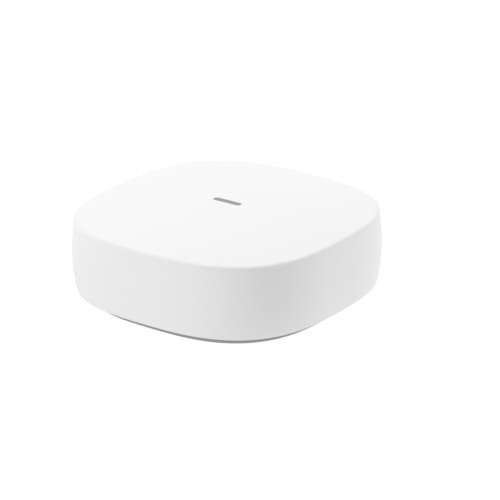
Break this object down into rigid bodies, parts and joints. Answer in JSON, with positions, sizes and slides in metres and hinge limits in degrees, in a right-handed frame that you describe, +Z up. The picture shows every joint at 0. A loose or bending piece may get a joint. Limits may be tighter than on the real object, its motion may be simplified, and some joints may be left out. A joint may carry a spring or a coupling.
{
  "type": "smart home hub",
  "caption": "Free-standing smart home hub: white rounded-square puck with a domed cover, a set-back grey base and a rear recess with sockets and a connect button.",
  "frame": {"origin": "middle of the box's underside, level with the bottom of the feet", "axes": "+Z up, +Y out of the rear recess with the sockets, +X to the left when facing the sockets"},
  "size_m": [0.12, 0.1198, 0.0413],
  "materials": {
    "cover_white": "fine moulded texture",
    "base_grey": "moulded matt",
    "panel_grey": "moulded matt",
    "lens_grey": "translucent satin",
    "baffle_white": "moulded",
    "led_body": "clear resin",
    "circuit_board": "solder mask",
    "chip_black": "moulded epoxy",
    "thermal_pad": "soft silicone",
    "tinned_steel": "tin plated",
    "spreader_aluminium": "pressed sheet",
    "copper_trace": "bare copper",
    "contact_gold": "gold plated",
    "lead_black": "sheath",
    "nickel_shell": "nickel plated",
    "socket_black": "moulded",
    "jack_light": "clear window",
    "button_grey": "moulded",
    "ferrite_grey": "pressed ferrite",
    "capacitor_aluminium": "drawn can",
    "screw_steel": "zinc plated",
    "foot_rubber": "moulded",
    "label_silver": "blank polyester film"
  },
  "bodies": {
    "root": {"top_cover": "cover_white", "base_plate": "base_grey", "port_panel": "panel_grey", "status_lens": "lens_grey", "light_tunnel": "baffle_white", "status_leds": "led_body", "main_board": "circuit_board", "processor": "chip_black", "memory_chip": "chip_black", "flash_chip": "chip_black", "thermal_pad": "thermal_pad", "processor_shield": "tinned_steel", "spreader_pad": "thermal_pad", "heat_spreader": "spreader_aluminium", "lan_module": "tinned_steel", "mesh_module": "tinned_steel", "sub_ghz_module": "tinned_steel", "lan_antenna": "circuit_board", "mesh_antenna": "circuit_board", "sub_ghz_antenna": "circuit_board", "antenna_traces": "copper_trace", "coax_plugs": "contact_gold", "coax_leads": "lead_black", "network_jack_shield": "nickel_shell", "network_jack_insert": "socket_black", "network_jack_contacts": "contact_gold", "network_jack_lights": "jack_light", "network_transformer": "chip_black", "usb_port_shell": "nickel_shell", "usb_port_tongue": "socket_black", "usb_port_contacts": "contact_gold", "dc_jack_body": "socket_black", "dc_jack_pin": "nickel_shell", "dc_jack_terminals": "tinned_steel", "switch_body": "tinned_steel", "power_inductor": "ferrite_grey", "bulk_capacitors": "capacitor_aluminium", "regulator_chips": "chip_black", "crystals": "tinned_steel", "board_screws": "screw_steel", "case_screws": "screw_steel", "rubber_feet": "foot_rubber", "rating_label": "label_silver"},
    "connect_button": {"connect_button": "button_grey"},
    "switch_plunger": {"switch_plunger": "socket_black"}
  },
  "joints": [
    {"name": "connect_button_press", "type": "slide", "parent": "root", "child": "connect_button", "axis": [0, -1, 0], "range_m": [0, 0.0005], "stiffness_N_per_m": 800, "springref_m": -0.0004},
    {"name": "switch_plunger_press", "type": "slide", "parent": "root", "child": "switch_plunger", "axis": [0, -1, 0], "range_m": [0, 0.0005]}
  ],
  "couplings": [
    {"joint": "switch_plunger_press", "follows": "connect_button_press", "ratio": 1}
  ]
}
